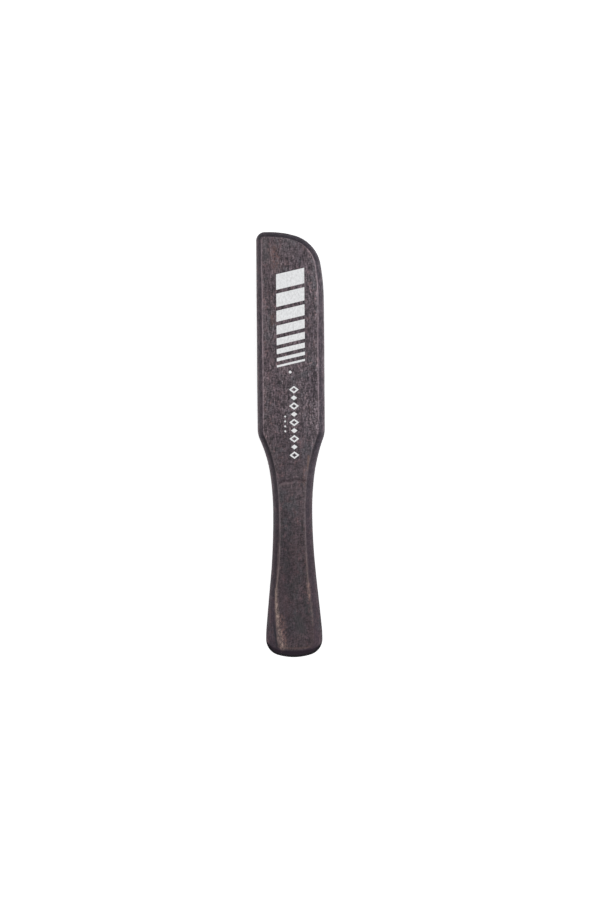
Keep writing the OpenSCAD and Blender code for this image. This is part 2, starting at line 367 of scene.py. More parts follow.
def side_rings():
    """Rings from the front face, round the side, to the back face, with their attributes."""
    rings, arris, rim = [], [], []

    def add_ring(inset, weight, level):
        move = inset - side_offset
        x, y = line_x - move * out_x, line_y - move * out_y
        rings.append(np.stack([x, y, np.broadcast_to(level(x, y), (ring_size,))], 1))
        arris.append(weight * rub)
        rim.append(inset / edge_width)

    steps = edge_steps()
    for inset, fall, weight in steps[::-1]:
        add_ring(inset, weight, lambda x, y: Z_FRONT + fall)
    for t in np.linspace(0, 1, 7)[1:-1]:
        z = Z_FRONT + EDGE_HEIGHT + (Z_BACK - Z_FRONT - 2 * EDGE_HEIGHT) * t
        add_ring(np.zeros(ring_size) - SIDE_SWELL * math.sin(math.pi * t), 0.0, lambda x, y: z)
    for inset, fall, weight in steps:
        add_ring(inset, weight, lambda x, y: back_z(x, y) - fall)
    cross = np.tile(np.abs(out_y), len(rings))
    return rings, np.concatenate(arris), np.concatenate(rim), cross


def close_face(verts, faces, ring, first, holes, inner, level, turn):
    """Fills a ring whose vertices start at first; returns where the new vertices start."""
    points, triangles = triangulate([ring] + holes, inner)
    new, start = points[ring_size:], len(verts)
    verts.extend(np.column_stack([new, level(*new.T)]))
    for t in triangles:
        faces.append([first + i if i < ring_size else start + i - ring_size for i in t][::turn])
    return start


def drill(verts, faces, first, place, circle):
    """One hole: broken mouth edge, straight wall and the cone left by the drill."""
    ring = [first + j for j in range(HOLE_SIDES)]
    for depth in (MOUTH_BREAK, 2.5, HOLE_DEPTH):
        deeper = [len(verts) + j for j in range(HOLE_SIDES)]
        verts.extend(np.column_stack([place + circle * HOLE_R,
                                      np.full(HOLE_SIDES, Z_FRONT + depth)]))
        for j in range(HOLE_SIDES):
            k = (j + 1) % HOLE_SIDES
            faces.append([ring[j], ring[k], deeper[k], deeper[j]])
        ring = deeper
    cone = HOLE_R / math.tan(math.radians(DRILL_HALF_ANGLE))
    point = len(verts)
    verts.append(np.array([place[0], place[1], Z_FRONT + HOLE_DEPTH + cone]))
    for j in range(HOLE_SIDES):
        faces.append([ring[j], ring[(j + 1) % HOLE_SIDES], point])


def build_body(material):
    rings, arris, rim, cross = side_rings()
    verts, faces = list(np.concatenate(rings)), []
    for k in range(len(rings) - 1):
        a, b = k * ring_size, (k + 1) * ring_size
        for i in range(ring_size):
            j = (i + 1) % ring_size
            faces.append([a + i, b + i, b + j, a + j])
    corner = np.array([HALF_WIDTH, Y_TIP])

    # Back face: a fine net that carries the sanding waves and the creases
    back_ring = rings[-1][:, :2]
    net = grid(-corner, corner, 0.85, stagger=0.42)
    net = net[inside(net, back_ring)]
    net = net[~near(net, back_ring, 0.5)]
    close_face(verts, faces, back_ring, (len(rings) - 1) * ring_size, [], net, back_z, 1)

    # Front face: drilled for every tuft
    angle = np.arange(HOLE_SIDES) * 2 * math.pi / HOLE_SIDES
    circle = np.stack([np.cos(angle), np.sin(angle)], 1)
    mouths = [p + circle * (HOLE_R + MOUTH_BREAK) for p in all_places]
    front_ring = rings[0][:, :2]
    net = grid(-corner, corner, 1.6, shift=0.3)
    net = net[inside(net, front_ring)]
    net = net[~near(net, front_ring, 0.9)]
    net = net[~near(net, all_places, HOLE_R + 0.8)]
    start = close_face(verts, faces, front_ring, 0, mouths, net,
                       lambda x, y: np.full(len(x), Z_FRONT), -1)
    for k, place in enumerate(all_places):
        drill(verts, faces, start + k * HOLE_SIDES, place, circle)

    rest = len(verts) - len(arris)
    attributes = {"arris": np.r_[arris, np.zeros(rest)], "rim": np.r_[rim, np.ones(rest)],
                  "cross": np.r_[cross, np.zeros(rest)]}
    body = new_mesh("wooden_body_shaped", verts, faces, material, attributes)
    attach(body, "root")
    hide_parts("wooden_body")


# ---------------------------------------------------------------- node helpers
def srgb(r, g, b):
    """Linear colour from 0-255 sRGB."""
    def linear(c):
        c = c / 255
        return c / 12.92 if c <= 0.04045 else ((c + 0.055) / 1.055) ** 2.4
    return (linear(r), linear(g), linear(b))


def colour(value):
    """Turns an sRGB tuple into a linear one and leaves a signal alone."""
    return srgb(*value) if isinstance(value, tuple) else value


class Signal:
    """A node output; arithmetic on it adds math nodes."""

    def __init__(self, net, socket):
        self.net, self.socket = net, socket

    def __add__(self, other):
        return self.net.math("ADD", self, other)

    def __radd__(self, other):
        return self.net.math("ADD", other, self)

    def __sub__(self, other):
        return self.net.math("SUBTRACT", self, other)

    def __rsub__(self, other):
        return self.net.math("SUBTRACT", other, self)

    def __mul__(self, other):
        return self.net.math("MULTIPLY", self, other)

    def __rmul__(self, other):
        return self.net.math("MULTIPLY", other, self)

    def __abs__(self):
        return self.net.math("ABSOLUTE", self)

    def sine(self):
        return self.net.math("SINE", self)

    def root(self):
        return self.net.math("SQRT", self)

    def ease(self, start, end, to=(0.0, 1.0), kind="SMOOTHSTEP"):
        """Runs between the two values of to as the signal goes from start to end."""
        return self.net.node("MapRange", {"Value": self, "From Min": start, "From Max": end,
                                          "To Min": to[0], "To Max": to[1]},
                             out="Result", interpolation_type=kind)

    def line(self, start, end, to=(0.0, 1.0)):
        """Like ease, in a straight line."""
        return self.ease(start, end, to, "LINEAR")

    def swing(self, amount):
        """Noise turned into -amount to amount."""
        return self.line(0.3, 0.7, to=(-amount, amount))


class Net:
    """A material with a Principled surface, and short calls for its nodes."""

    def __init__(self, name):
        self.material = bpy.data.materials.new(name)
        self.material.use_nodes = True
        self.tree = self.material.node_tree
        self.tree.nodes.clear()
        self.output = self.tree.nodes.new("ShaderNodeOutputMaterial")
        self.bsdf = self.tree.nodes.new("ShaderNodeBsdfPrincipled")
        self.tree.links.new(self.bsdf.outputs[0], self.output.inputs["Surface"])
        place = self.node("TexCoord", out="Object")
        self.mm = self.vector("MULTIPLY", place, (1000, 1000, 1000))

    def put(self, value, socket):
        if isinstance(value, Signal):
            self.tree.links.new(value.socket, socket)
        elif isinstance(value, tuple) and socket.type == "RGBA":
            socket.default_value = (*value, 1)
        else:
            socket.default_value = value

    def node(self, kind, inputs=None, out=0, **settings):
        made = self.tree.nodes.new("ShaderNode" + kind)
        for key, value in settings.items():
            setattr(made, key, value)
        for key, value in (inputs or {}).items():
            self.put(value, made.inputs[key])
        return Signal(self, made.outputs[out])

    def math(self, operation, *values, clamp=False):
        return self.node("Math", dict(enumerate(values)), operation=operation, use_clamp=clamp)

    def vector(self, operation, *values):
        return self.node("VectorMath", dict(enumerate(values)), operation=operation)

    def combine(self, x, y, z):
        return self.node("CombineXYZ", {0: x, 1: y, 2: z})

    def split(self, vector):
        node = self.node("SeparateXYZ", {0: vector}).socket.node
        return [Signal(self, socket) for socket in node.outputs]

    def normal(self):
        return self.split(self.node("NewGeometry", out="Normal"))

    def attribute(self, name):
        return self.node("Attribute", out="Fac", attribute_name=name)

    def scaled(self, per_mm, shift=(0, 0, 0)):
        return self.vector("ADD", self.vector("MULTIPLY", self.mm, per_mm), shift)

    def noise_at(self, place, detail=3, rough=0.55, warp=0.0):
        return self.node("TexNoise", {"Vector": place, "Scale": 1, "Detail": detail,
                                      "Roughness": rough, "Distortion": warp}, out="Fac")

    def noise(self, per_mm, shift=(0, 0, 0), **look):
        """Noise with its frequency per mm along x, y and z."""
        return self.noise_at(self.scaled(per_mm, shift), **look)

    def mix(self, factor, a, b, mode="MIX"):
        return self.node("Mix", {"Factor": factor, "A": a, "B": b}, out="Result",
                         data_type="RGBA", blend_type=mode, clamp_factor=True)

    def multiply(self, a, b):
        return self.mix(1.0, a, b, "MULTIPLY")

    def tint(self, col, value):
        """Colour times a value."""
        return self.multiply(col, self.combine(value, value, value))

    def blend(self, factor, low, high):
        """Mix of signals or sRGB colours."""
        return self.mix(factor, colour(low), colour(high))

    def layer(self, col, over, mask, strength=None, within=None):
        """Lays a colour over col where mask says, no more than strength and only within."""
        if strength is not None:
            mask = mask * strength
        if within is not None:
            mask = mask * within
        return self.blend(mask, col, over)

    def bump(self, height, strength, distance):
        return self.node("Bump", {"Strength": strength, "Distance": distance, "Height": height})

    def surface(self, inputs):
        for key, value in inputs.items():
            self.put(value, self.bsdf.inputs[key])
        return self.material


# ---------------------------------------------------------------- stained wood
FOOT_X, FOOT_Y = 0.8, -108.85       # middle of the line where the dark handle end begins
FOOT_BOW, FOOT_CURL = 0.00652, 0.0000632
PITH_X, PITH_Z = 6.0, 52.0          # centre of the year rings
RING_TURN = 3.6                     # radians of year ring per mm

# NECK_CREASE and the first of CROSS_LINES follow the two creases of back_z, and their dark lines
# are painted shade
# Dark lines across the back: x, y, bow, half length, half width, wobble, strength
NECK_CREASE = (0.9, -18.6, -0.022, 8.8, 0.95, 0.9, 0.78)
CROSS_LINES = [(0.9, -29.3, -0.01, 4.2, 0.6, 0.6, 0.55),
               (-0.6, -23.9, 0.006, 4.0, 0.35, 1.6, 0.3),
               (-11.8, 50.5, 0.12, 2.8, 0.55, 0.8, 0.5),
               (9.5, 77.5, 0.05, 4.5, 0.6, 1.2, 0.4)]

# Strokes and patches follow a line: x0, y0, x1, y1, radius, softness, strength
DARK_STROKES = [
    (-4.1, 97.7, 0.7, 99.3, 0.3, 0.5, 0.78), (-4.1, 94.3, 0.6, 94.7, 0.28, 0.45, 0.65),
    (10.7, 100.1, 10.9, 100.2, 0.35, 0.45, 0.95), (6.5, 99.8, 7.3, 95.3, 0.25, 0.4, 0.715),
    (-14.2, 49.9, -9.5, 52.5, 0.3, 0.5, 0.78), (-6.1, -4.4, -0.3, -4.0, 0.28, 0.5, 0.715),
    (-1.4, -7.7, 6.0, -11.5, 0.2, 0.4, 0.65), (-1.8, -9.6, 5.4, -13.0, 0.2, 0.4, 0.585),
    (2.1, -28.9, 6.2, -27.7, 0.3, 0.45, 0.845), (-5.2, -27.4, -5.1, -30.2, 0.16, 0.3, 0.715),
    (-4.1, -27.2, -4.0, -30.4, 0.16, 0.3, 0.78), (2.8, -62.0, 6.0, -61.8, 0.28, 0.4, 0.95)]
PALE_STROKES = [
    (6.6, 104.5, 4.1, 96.6, 0.2, 0.35, 0.845), (5.5, 102.9, 7.0, 95.5, 0.18, 0.3, 0.65),
    (1.6, -41.2, 2.0, -41.3, 0.28, 0.3, 0.95), (3.6, -59.5, 5.8, -59.5, 0.2, 0.35, 0.585)]
TAN_STROKE = (8.95, -6.2, 8.6, -13.8, 0.45, 0.5)
# Rubbed through to brown wood; the last entry names the raggedness in worn_places
WORN = [(-7.45, -52, -7.9, -66, 0.05, 0.6, 0.35, "light long"),
        (-7.9, -64, -8.75, -77, 0.15, 0.7, 0.42, "light long"),
        (-8.75, -76, -8.8, -88, 0.42, 0.80, 0.80, "light short"),
        (-8.7, -84, -7.8, -96, 0.65, 0.8, 0.88, "short"),
        (-7.7, -94, -6.9, -101, 0.70, 0.9, 0.86, "short"),
        (-7.0, -102, -5.6, -107.2, 1.15, 1.3, 0.72, "short"),
        (7.2, -58, 8.0, -76, 0.20, 0.6, 0.30, "long"),
        (8.1, -74, 8.5, -80, 0.65, 0.8, 0.30, "short"),
        (10.0, -84, 10.6, -96, 0.25, 0.6, 0.30, "short")]
FAINTLY_WORN = [(-6.6, -92, -5.0, -106, 1.8, 1.5, 0.8), (8.3, -74, 8.6, -82, 0.7, 0.8, 0.9),
                (6.9, -12, 6.3, -22, 0.7, 0.7, 0.55), (-9.0, 103, -7.4, 95, 2.4, 2.2, 0.6),
                (-9.5, 68, -9.0, 64, 1.3, 1.5, 0.5)]
GREY_PATCHES = [(3.0, -92.5, 4.2, -98.5, 1.8, 2.4, 0.85), (6.6, -83.0, 7.4, -87.0, 0.7, 1.2, 0.7),
                (-3.2, -61, -3.6, -66, 1.2, 2.0, 0.5), (1.6, -71, 1.2, -76, 1.0, 2.0, 0.5),
                (-6.0, -47, -6.2, -52, 0.9, 1.8, 0.4), (-13.2, 108, -12.4, 98, 1.2, 2.6, 0.75)]
RED_PATCHES = [(-4.0, -80, -3.4, -90, 1.6, 2.2, 0.7), (1.0, -83, 1.4, -86, 1.2, 1.8, 0.5),
               (9.4, -92, 10.4, -104, 1.4, 1.8, 0.7), (2.0, -55, 2.4, -66, 1.6, 2.4, 0.5),
               (-5.4, -70, -5.8, -78, 1.2, 2.0, 0.5)]
EDGE_FLECKS = [(-12.4, -88, -11.2, -103.5, 0.7, 1.3, 0.8), (12.2, -84, 12.9, -103, 0.7, 1.3, 0.6)]
# A bluish black line of painted shade just outside the edge line at -x, near the handle's end: x0,
# y0, x1, y1, radius, softness
LEFT_EDGE_SHADE = (-10.3, -93.5, -8.7, -107.0, 0.45, 0.5)


class WoodNet(Net):
    """The wood's net, with the noises and zones its layers share."""

    def __init__(self):
        super().__init__("stained_wood")
        self.x, self.y, self.z = self.split(self.mm)
        # A slow drift across the board bends the grain
        drift = self.noise((0.03, 0.012, 0.03), detail=2, rough=0.5)
        self.bent = self.combine(self.x + drift * 5.0, self.y, self.z)
        self.fibre = self.grain((1.9, 0.13, 1.9), detail=4, rough=0.62)
        self.fine = self.grain((5.5, 0.5, 5.5), detail=3, rough=0.6)
        self.grit = self.grain((1.75, 0.40, 1.75), detail=2.5, rough=0.62)
        self.patchy = self.noise((0.48, 0.34, 0.48), (9.3, 1.1, 0), detail=3, rough=0.62, warp=0.4)
        self.ripple = self.noise((0.20, 1.25, 0.4), (0, 2.2, 0), detail=2.5, rough=0.6, warp=0.7)
        self.facing = self.normal()
        self.shade = self.y.ease(-62, 14)       # 0 on the handle, 1 on the head
        self.low_head = self.y.ease(0, 8) * self.y.ease(46, 34)
        self.edge_zones()
        self.end_zones()

        self.amp = (self.y.ease(-14, 12).line(0, 1, to=(0.56, 1.0))
                    * (1.0 - self.edge * 0.42 + self.band * 0.75))
        pores = self.grain((2.1, 0.34, 2.1), detail=2, rough=0.5, warp=0.1)
        self.pore = pores.ease(0.39, 0.31) * self.amp
        figure = self.noise((0.13, 0.50, 0.2), (4.4, 0.3, 0), detail=2.5, rough=0.55, warp=1.2)
        self.figure = (abs(figure - 0.5).ease(0.020, 0.0)
                       * self.noise((0.09, 0.06, 0.1), (8, 1, 0), detail=2).ease(0.48, 0.62))

    def edge_zones(self):
        # rim is 0 on the side and 1 at the face; cross is 1 where the edge cuts the grain
        self.rim = self.attribute("rim")
        self.band = self.rim.ease(0.04, 0.50) * self.rim.ease(1.02, 0.95)
        self.edge = self.rim.ease(1.02, 0.90)
        self.cross = (self.attribute("cross").ease(0.08, 0.40)
                      * self.y.ease(-98, -80, to=(0.2, 1.0)))
        breaks = self.noise((0.55, 0.20, 0.55), (6, 3, 0), detail=4, rough=0.68)
        self.wear = self.attribute("arris") * breaks.ease(0.36, 0.60, to=(0.45, 1.0))

    def end_zones(self):
        self.end_grain = abs(self.facing[1]).ease(0.35, 0.85)
        self.foot_u = self.x - FOOT_X
        square = self.foot_u * self.foot_u
        self.foot_line = FOOT_Y + (square * FOOT_BOW + square * square * FOOT_CURL)
        self.foot = (self.foot_line - self.y).ease(-0.60, 0.85)

    def grain(self, per_mm, **look):
        """Noise that follows the bent grain."""
        return self.noise_at(self.vector("MULTIPLY", self.bent, per_mm), **look)

    def by_part(self, handle, head):
        return self.blend(self.shade, handle, head)

    def near_line(self, x0, y0, x1, y1, radius, soft):
        """1 near a line between two points, falling to 0 across its soft border."""
        run, rise = x1 - x0, y1 - y0
        dx, dy = self.x - x0, self.y - y0
        share = self.math("DIVIDE", dx * run + dy * rise, run * run + rise * rise, clamp=True)
        off_x, off_y = dx - share * run, dy - share * rise
        return (off_x * off_x + off_y * off_y).root().ease(radius + soft, radius - soft)

    def strongest(self, parts):
        return reduce(lambda a, b: self.math("MAXIMUM", a, b), parts)


def stain_and_side_light(net):
    """Base colour with painted side light on the head; the handle is darker and more even than the
    head.
    """
    cloud = net.noise((0.10, 0.045, 0.10), (3.1, 7.7, 0), detail=4, rough=0.6)
    head = net.blend(cloud.ease(0.36, 0.64), (59, 51, 55), (69, 61, 64))
    handle = net.blend(cloud.ease(0.36, 0.64), (39, 32, 36), (49, 40, 43))
    col = net.by_part(handle, head)
    # Greyer patches, redder patches and pale flecks
    cool = net.noise((0.15, 0.09, 0.15), (5, 5, 0), detail=4, rough=0.65, warp=0.3)
    col = net.layer(col, net.by_part((40, 41, 43), (58, 58, 61)), cool.ease(0.50, 0.64),
                    strength=0.6)
    warm = (net.patchy.ease(0.54, 0.70)
            * (net.shade.line(0, 1, to=(0.60, 0.50)) - net.low_head * 0.24))
    col = net.layer(col, net.by_part((60, 43, 45), (82, 63, 64)), warm)
    dash = net.grain((1.25, 0.42, 1.25), detail=2, rough=0.6, warp=0.2)
    groups = net.noise((0.17, 0.10, 0.17), (2, 8, 0), detail=3, rough=0.6)
    fleck = (dash.ease(0.56, 0.70) * groups.ease(0.44, 0.60)
             * (net.shade.line(0, 1, to=(0.42, 0.60)) - net.low_head * 0.22))
    col = net.layer(col, net.by_part((72, 54, 54), (98, 77, 76)), fleck)
    # Painted light from the right on the head: redder and deeper towards -x, cooler and paler
    # towards +x
    side = net.mix(net.x.line(-12, 12), (0.935, 0.895, 0.885), (1.08, 1.09, 1.10))
    return net.mix(net.shade, col, net.multiply(col, side))


def grain_tone(net, col):
    """Lengthwise grain, grit, the ripple across it, pores and figure."""
    speckle = net.noise((0.95, 1.55, 0.95), (4.2, 0.7, 1.9), detail=2, rough=0.6)
    streak = net.grain((0.62, 0.03, 0.62), detail=3, rough=0.55)
    flat = abs(net.facing[2]).ease(0.55, 0.92)
    bands = net.noise((0.08, 0.045, 0.1), (2.2, 5.1, 0), detail=2, rough=0.5)
    tone = net.fibre.swing(0.40) * net.amp
    tone = tone + net.fine.swing(0.80) * net.amp
    tone = tone + net.grit.swing(0.82) * net.amp
    tone = tone + speckle.swing(0.60) * (flat.line(0, 1, to=(0.2, 1.0))
                                         * (1.0 + net.low_head * 0.5))
    tone = tone + net.patchy.swing(0.15)
    tone = tone + streak.line(0.35, 0.65, to=(-0.12, 0.12))
    tone = tone + (net.ripple.line(0.3, 0.7, to=(0.24, -0.26))
                   * bands.ease(0.40, 0.60, to=(0.35, 1.0)))
    # Light tones are stretched a little, and the darkest are held up
    tone = tone * (1.03 + tone * 0.22)
    col = net.tint(col, net.math("MAXIMUM", 1.0 + tone, 0.24))
    col = net.layer(col, (25, 19, 22), net.pore, strength=0.45)
    return net.layer(col, (25, 20, 23), net.figure, strength=0.6)


def cross_line(net, x0, y0, bow, half, width, wobble):
    """A line across the back, with the distance from it along y and its faded ends."""
    u = net.x - x0
    height, turn = CREASE_RIPPLE
    curve = y0 + (bow * (u * u) + (CREASE_SLANT * u + height * (u * turn).sine()))
    curve = curve + wobble * (net.noise((0.6, 0.05, 0.1), (1, y0, 0), detail=3) - 0.5)
    offset = net.y - curve
    ends = abs(u).ease(half, half - 2.0)
    return abs(offset).ease(width, width * 0.25) * ends, offset, ends


def figure_marks_and_crease_shade(net, col):
    """Lines across the back, with painted shade in the two creases, and single strokes of figure.
    """
    face = net.normal()[2].ease(0.90, 0.98)
    # The neck crease gets a line of painted shade and has a paler lip below it, at -x
    *shape, strength = NECK_CREASE
    width = shape[4]
    dark, offset, ends = cross_line(net, *shape)
    lip = (offset.ease(-3.0 * width, -1.4 * width) * offset.ease(-0.3 * width, -1.0 * width)
           * ends * net.x.ease(1.0, -2.5))
    breaks = net.noise((0.7, 0.5, 0.5), (5, 1, 0), detail=3, rough=0.6)
    dark = dark * breaks.ease(0.34, 0.56, to=(0.45, 1.0))
    col = net.layer(col, (32, 20, 25), dark, strength=strength, within=face)
    col = net.layer(col, (96, 82, 84), lip, strength=0.50, within=face)
    # The first of these lines lies in the second crease and is painted shade there
    for *shape, strength in CROSS_LINES:
        dark = cross_line(net, *shape)[0]
        col = net.layer(col, (27, 21, 23), dark, strength=strength, within=face)

    broken = net.noise((0.9, 0.9, 0.9), (8, 2, 0), detail=3, rough=0.65)
    broken = broken.ease(0.36, 0.56, to=(0.35, 1.0))
    pale = net.by_part((78, 70, 72), (92, 80, 86))
    for strokes, tone in ((DARK_STROKES, (25, 19, 22)), (PALE_STROKES, pale)):
        for *shape, strength in strokes:
            col = net.layer(col, tone, net.near_line(*shape), strength=strength,
                            within=broken * face)
    return net.layer(col, (88, 70, 62), net.near_line(*TAN_STROKE), strength=0.7, within=face)


def end_grain(net, col):
    """End grain drinks more stain, and the handle's end is almost black: its end grain stain is
    deepened with painted shade.
    """
    col = net.tint(col, 1.0 - net.end_grain * 0.30)
    pith_x, pith_z = net.x - PITH_X, net.z - PITH_Z
    radius = (pith_x * pith_x + pith_z * pith_z).root()
    radius = radius + net.noise((0.2, 0.05, 0.2), (1, 1, 1), detail=2) * 1.6
    years = (radius * RING_TURN).sine().line(-1, 1, to=(-0.20, 0.16)) * net.end_grain
    col = net.tint(col, 1.0 + years)
    # The near black handle end: end grain stain together with painted shade, as the end faces away
    # from the light
    dark = net.blend(net.grit.ease(0.36, 0.62), (2, 2, 4), (11, 9, 13))
    dark = net.tint(dark, 1.0 + years * 2.2)
    col = net.layer(col, dark, net.foot, strength=0.97)
    dots = net.noise((3.2, 0.3, 3.2), (2, 2, 2), detail=2).ease(0.36, 0.28)
    return net.layer(col, (14, 11, 13), dots * net.end_grain, strength=0.5)


def edge_stain_shade_and_wear(net, col):
    """Painted shade on the rounded edge and just outside the edge line, a painted highlight towards
    the outer rim, a darker edge where it cuts the grain, and stain rubbed off on the edge line.
    """
    # Edges facing -x, away from the light, get more painted shade
    left = net.facing[0].ease(0.2, -0.2) * net.y.ease(-92, -66, to=(0.15, 1.0))
    # Painted shade: the rounded edge band turns darker and bluer
    col = net.layer(col, net.by_part((44, 34, 43), (58, 50, 60)), net.band, strength=0.45)
    darker = net.shade.line(0, 1, to=(0.05, 0.21)) + net.y.ease(-92, -66, to=(-0.17, 0.0))
    col = net.tint(col, 1.0 - net.band * (darker + left * 0.18))
    col = net.mix(net.cross * net.edge, col, net.multiply(col, (0.60, 0.60, 0.66)))
    # Painted shade in a strip just outside the edge line, deeper where the edge cuts the grain and
    # on edges facing -x
    arris_strip_shade = net.rim.ease(0.35, 0.80) * net.rim.ease(1.02, 0.95)
    col = net.tint(col, 1.0 - arris_strip_shade * (net.cross * 0.36 + left * 0.08))
    # More painted shade on that strip along the neck
    neck = net.y.ease(-46, -14) * net.y.ease(11, 3)
    col = net.tint(col, 1.0 - arris_strip_shade * neck * 0.22)
    # Painted highlight on the outer part of the rounded edge, stronger on the handle than on the
    # head, and none at the dark handle end
    outer = net.rim.ease(0.50, 0.16) * (abs(net.facing[2]).ease(0.02, 0.18) * (1.0 - net.foot))
    col = net.tint(col, 1.0 + outer * net.shade.line(0, 1, to=(0.42, 0.12)))
    bare_handle = net.blend(net.y.ease(-80, -50), (100, 85, 81), (106, 94, 96))
    bare = net.blend(net.y.ease(-12, 10), bare_handle, (140, 124, 129))
    return net.layer(col, bare, net.wear, strength=0.95)


def worn_places(net, col):
    """Worn, grey and red patches, the marks near the handle's end with a line of painted shade
    beside its edge line at -x, and pale specks.
    """
    upward = net.facing[2].ease(0.50, 0.80)
    long = net.noise((0.9, 0.34, 0.9), (3, 3, 0), detail=5, rough=0.72, warp=0.5)
    long = long.ease(0.42, 0.58)
    short = net.noise((1.1, 0.75, 1.1), (7, 3, 0), detail=5, rough=0.75, warp=0.6)
    short = short.ease(0.46, 0.57)
    ragged = {"long": long, "short": short,
              "light long": 0.45 + long * 0.55, "light short": 0.30 + short * 0.70}

    worn = net.strongest([net.near_line(*shape) * strength * (0.25 + ragged[kind] * 0.75)
                          for *shape, strength, kind in WORN])
    faint = net.strongest([net.near_line(*shape) * strength * short
                           for *shape, strength in FAINTLY_WORN])
    col = net.layer(col, (102, 77, 72), faint, strength=0.75, within=upward)
    grey = net.strongest([net.near_line(*shape) * strength for *shape, strength in GREY_PATCHES])
    grey_col = net.tint(net.by_part((38, 39, 40), (56, 55, 57)),
                        net.grit.line(0.3, 0.7, to=(0.75, 1.25)))
    col = net.layer(col, grey_col, grey, strength=0.75, within=upward)
    red = net.strongest([net.near_line(*shape) * strength * (0.4 + long * 0.6)
                         for *shape, strength in RED_PATCHES])
    col = net.layer(col, (60, 44, 48), red, strength=0.60, within=upward)

    flecks = net.strongest([net.near_line(*shape) * strength for *shape, strength in EDGE_FLECKS])
    breaks = net.noise((1.5, 0.26, 1.5), (5, 9, 0), detail=4, rough=0.65)
    col = net.layer(col, (78, 56, 54), flecks * breaks.ease(0.46, 0.60), strength=0.55)
    # Painted shade: a bluish black line just outside the edge line at -x, near the handle's end
    left_edge_shade = net.near_line(*LEFT_EDGE_SHADE) * net.y.ease(-91, -98)
    col = net.layer(col, (19, 18, 25), left_edge_shade, strength=0.85, within=net.facing[2].ease(0.2, 0.4))
    past = net.foot_line - net.y
    foot_rim = past.ease(-2.2, -1.2) * past.ease(-0.3, -1.0) * abs(net.foot_u).ease(11, 7)
    col = net.layer(col, (84, 64, 58), foot_rim, strength=0.22)
    brown = net.blend(net.grit.ease(0.35, 0.6), (92, 77, 74), (138, 119, 110))
    col = net.layer(col, brown, worn * upward)

    cells = net.node("TexVoronoi", {"Vector": net.scaled((0.5, 0.38, 0.5), (1, 2, 0)),
                                    "Scale": 1}, out="Distance")
    specks = (cells.ease(0.085, 0.03)
              * net.noise((0.3, 0.2, 0.3), (6, 6, 0), detail=2).ease(0.50, 0.60))
    return net.layer(col, (128, 104, 102), specks, strength=0.5)


def wood_material():
    net = WoodNet()
    col = stain_and_side_light(net)
    for add_layer in (grain_tone, figure_marks_and_crease_shade, end_grain, edge_stain_shade_and_wear, worn_places):
        col = add_layer(net, col)
    height = (net.fibre * 0.5 + net.fine * 0.3 + net.grit * 0.5 - net.pore * 0.6
              - net.figure * 0.3 + net.ripple * 0.35)
    return net.surface({
        "Base Color": net.tint(col, 2.02),      # overall brightness
        "Roughness": (net.fibre.line(0.3, 0.7, to=(0.50, 0.60)) + net.pore * 0.16
                      + net.end_grain * 0.10 - net.wear * 0.06),
        "Specular IOR Level": (net.rim.ease(0.0, 0.4, to=(0.10, 0.26))
                               * (1.0 - net.foot * 0.65)),
        "Normal": net.bump(height, strength=0.6, distance=0.00012)})


build_body(wood_material())

# ---------------------------------------------------------------- bristle
HAIRS = 104                     # per tuft
HAIR_SIDES = 4
TUFT_R, TUFT_SPREAD = 1.34, 1.80    # radius at the root, and how much wider at the tips
HAIR_SUNK, HAIR_FREE = 5.3, 0.2     # heights above the front face: hidden end, start of bend
HAIR_STATIONS = (0.0, 0.28, 0.58, 0.86, 1.0)    # shares of the free length
GOLDEN_ANGLE = math.pi * (3 - math.sqrt(5))


def bristle_material():
    net = Net("boar_bristle")
    hair = net.attribute("hair")
    along = net.attribute("along")
    col = net.blend(hair.ease(0.0, 1.0), (34, 27, 23), (74, 56, 42))
    col = net.layer(col, (128, 104, 78), hair.ease(0.93, 0.96), strength=0.7)
    noise = net.noise((2.2, 2.2, 0.35), detail=3, rough=0.6)
    col = net.tint(col, noise.line(0.3, 0.7, to=(0.78, 1.22)))
    # Split ends catch more light, and roots sit in their own shade
    col = net.layer(col, (112, 90, 70), along.ease(0.88, 1.0), strength=0.45)
    col = net.tint(col, along.ease(0.20, 0.55, to=(0.55, 1.0)))
    return net.surface({
        "Base Color": col,
        "Roughness": noise.line(0.3, 0.7, to=(0.34, 0.52)),
        "Specular IOR Level": 0.5,
        "Normal": net.bump(net.noise((3, 3, 9), detail=2), strength=0.25, distance=0.00002)})


